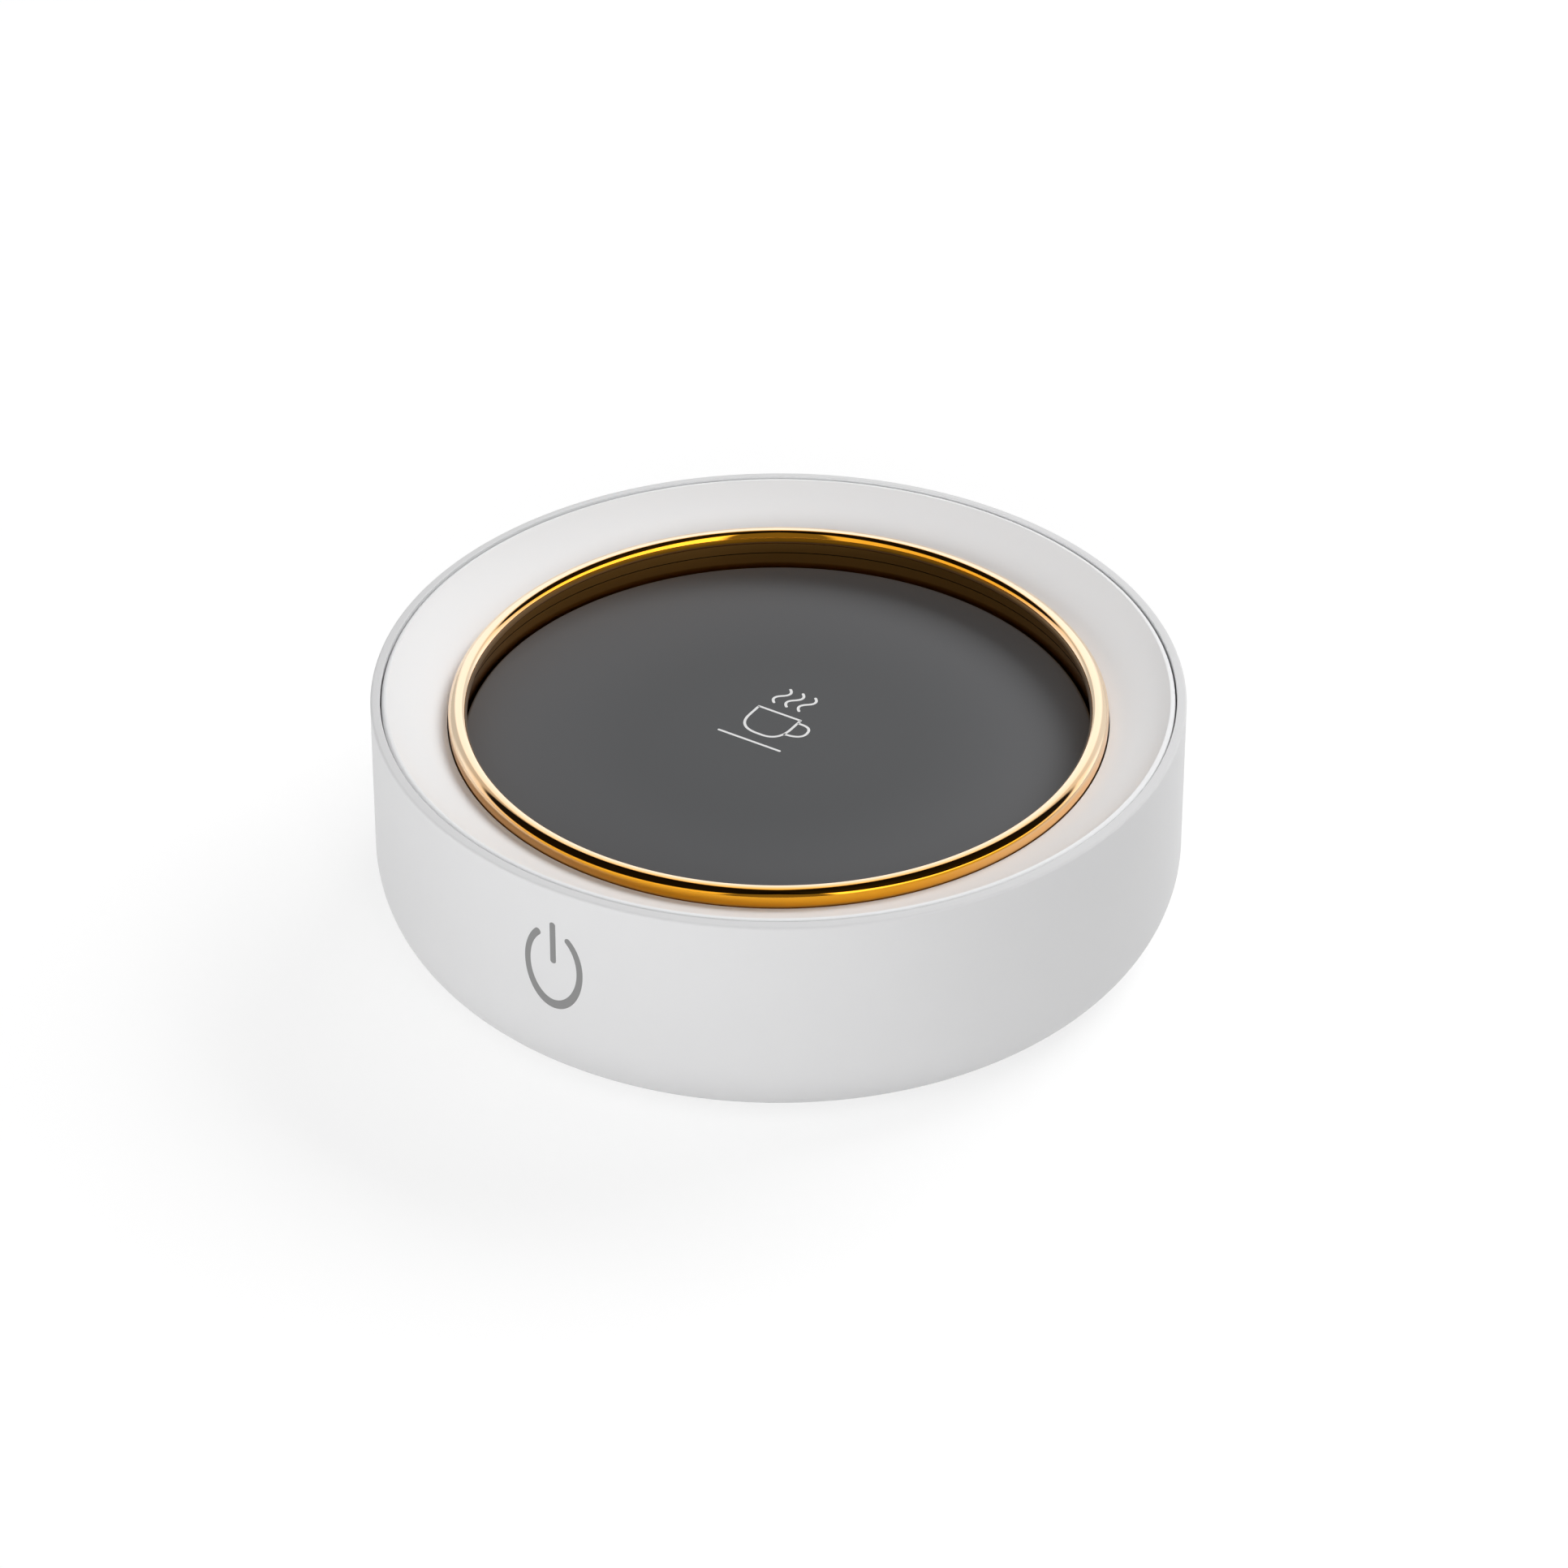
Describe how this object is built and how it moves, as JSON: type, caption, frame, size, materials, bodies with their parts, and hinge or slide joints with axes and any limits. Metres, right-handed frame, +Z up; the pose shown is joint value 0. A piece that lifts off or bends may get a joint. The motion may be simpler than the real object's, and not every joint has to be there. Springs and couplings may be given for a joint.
{
  "type": "electric mug warmer",
  "caption": "Round desk mug warmer: white bowl housing, dished cover with a gilt collar round a recessed dark glass hot plate that sinks a little under a mug.",
  "frame": {"origin": "centre of the footprint, on the surface that the feet stand on", "axes": "+Z up, front with the touch key at -Y, power inlet at +Y, +X to the right seen from the front"},
  "size_m": [0.12, 0.12, 0.037],
  "materials": {
    "white_shell": "fine satin moulded white plastic",
    "white_cover": "satin white moulded plastic",
    "gilt": "mirror polished, gold plated",
    "foot_rubber": "matt grey silicone rubber",
    "screw_steel": "zinc plated",
    "frame_plastic": "moulded natural plastic",
    "spring_steel": "bright wire",
    "dark_glass": "toughened dark grey glass, backed opaque",
    "silicone": "silicone bead",
    "spreader_metal": "plain sheet",
    "heater_film": "amber etched foil heater",
    "fibre_pad": "needled glass fibre",
    "component_black": "moulded case",
    "component_grey": "ferrite",
    "fuse_body": "glazed case",
    "tray_plastic": "heat resistant moulded plastic",
    "board_green": "lacquered glass epoxy board",
    "header_plastic": "white moulded header",
    "lead_red": "silicone insulated lead",
    "lead_black": "insulated lead",
    "jack_plastic": "black moulded jack",
    "contact_metal": "plated contact",
    "plunger_plastic": "moulded plunger",
    "ribbon_film": "flat film ribbon"
  },
  "bodies": {
    "base": {"board_screws": "screw_steel", "control_board": "board_green", "controller_chip": "component_black", "filter_capacitors": "component_black", "frame_screws": "screw_steel", "heater_leads": "lead_red", "housing_screws": "screw_steel", "inlet_jack": "jack_plastic", "inlet_pin": "contact_metal", "inner_sleeve": "gilt", "lead_headers": "header_plastic", "microswitch_body": "component_black", "outer_housing": "white_shell", "power_inductor": "component_grey", "return_springs": "spring_steel", "rubber_feet": "foot_rubber", "sensor_leads": "lead_black", "support_frame": "frame_plastic", "top_cover": "white_cover", "touch_electrode": "contact_metal", "touch_ribbon": "ribbon_film", "trim_ring": "gilt"},
    "plate": {"glass_plate": "dark_glass", "plate_seal": "silicone", "heat_spreader": "spreader_metal", "heating_element": "heater_film", "insulation_pad": "fibre_pad", "temperature_sensor": "component_black", "thermal_fuse": "fuse_body", "plate_tray": "tray_plastic", "stop_washers": "screw_steel", "stop_screws": "screw_steel"},
    "plunger": {"microswitch_plunger": "plunger_plastic"}
  },
  "joints": [
    {"name": "plate_press", "type": "slide", "parent": "base", "child": "plate", "axis": [0, 0, -1], "range_m": [0, 0.0008], "stiffness_N_per_m": 600, "springref_m": -0.0035, "deforming": ["return_springs", "heater_leads", "sensor_leads"]},
    {"name": "plunger_press", "type": "slide", "parent": "base", "child": "plunger", "axis": [0, 0, -1], "range_m": [0, 0.0008], "stiffness_N_per_m": 60, "springref_m": -0.002}
  ],
  "couplings": [
    {"joint": "plunger_press", "follows": "plate_press", "ratio": 1}
  ]
}
